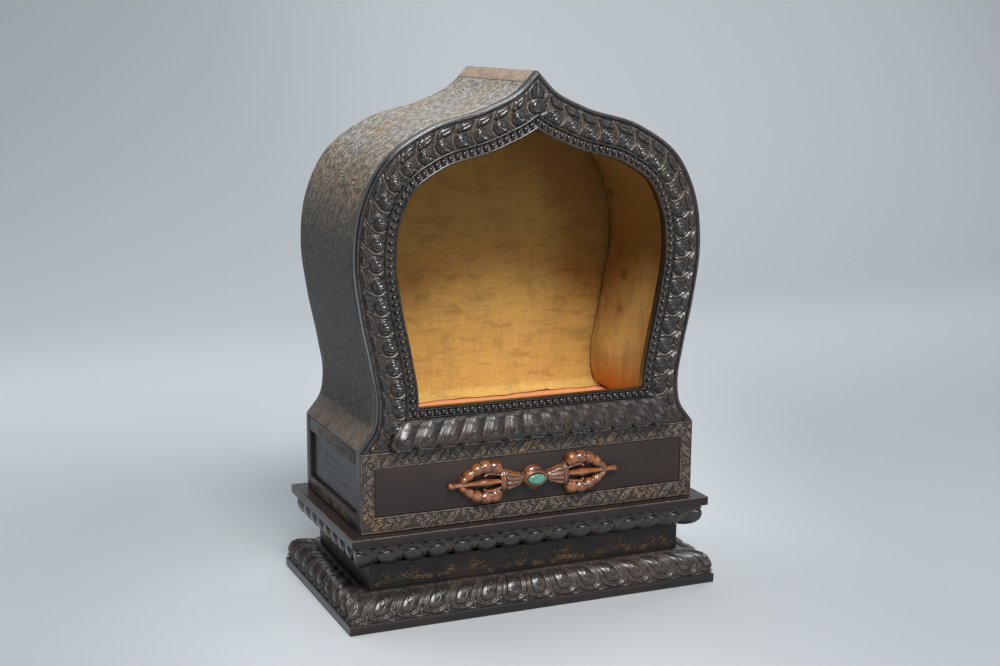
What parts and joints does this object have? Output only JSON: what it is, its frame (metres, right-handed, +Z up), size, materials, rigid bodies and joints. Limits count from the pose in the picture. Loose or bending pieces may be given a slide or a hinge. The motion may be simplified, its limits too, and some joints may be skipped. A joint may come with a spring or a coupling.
{
  "type": "wooden shrine",
  "caption": "Carved hardwood shrine: an ogee-arched niche lined with silk, on a panelled box and a lotus-moulded plinth.",
  "frame": {"origin": "on the surface the shrine stands on, under the middle of its foot", "axes": "+Z up, the niche opens towards -Y, +X to the right when looking into the niche"},
  "size_m": [0.3014, 0.1668, 0.4],
  "materials": {
    "dark_wood": "near-black hardwood, waxed and worn, silvery where it is rubbed and dusty in its recesses",
    "panel_wood": "plain near-black hardwood panels with a soft blue-grey sheen",
    "hood_wood": "dark hardwood finely engraved all over with waves and clouds, grey-brown with old dust",
    "boxwood": "polished reddish-brown carved wood",
    "turquoise": null,
    "silk": "aged golden silk, darker and greener towards the top, with creases and stains",
    "orange_cloth": "faded orange cloth"
  },
  "bodies": {
    "root": {"foot_moulding": "dark_wood", "waist_frame": "dark_wood", "cornice_slab": "dark_wood", "box_front_frame": "dark_wood", "box_front_panel": "panel_wood", "box_back_board": "dark_wood", "box_rail_bottom_left": "dark_wood", "box_rail_top_left": "dark_wood", "box_side_panel_left": "panel_wood", "box_rail_bottom_right": "dark_wood", "box_rail_top_right": "dark_wood", "box_side_panel_right": "panel_wood", "hood_shell": "hood_wood", "hood_back_board": "dark_wood", "niche_floor_board": "dark_wood", "arch_front_board": "dark_wood", "lotus_band": "dark_wood", "silk_back": "silk", "silk_sides": "silk", "floor_cloth": "orange_cloth", "vajra": "boxwood", "turquoise_cabochon": "turquoise"}
  },
  "joints": []
}
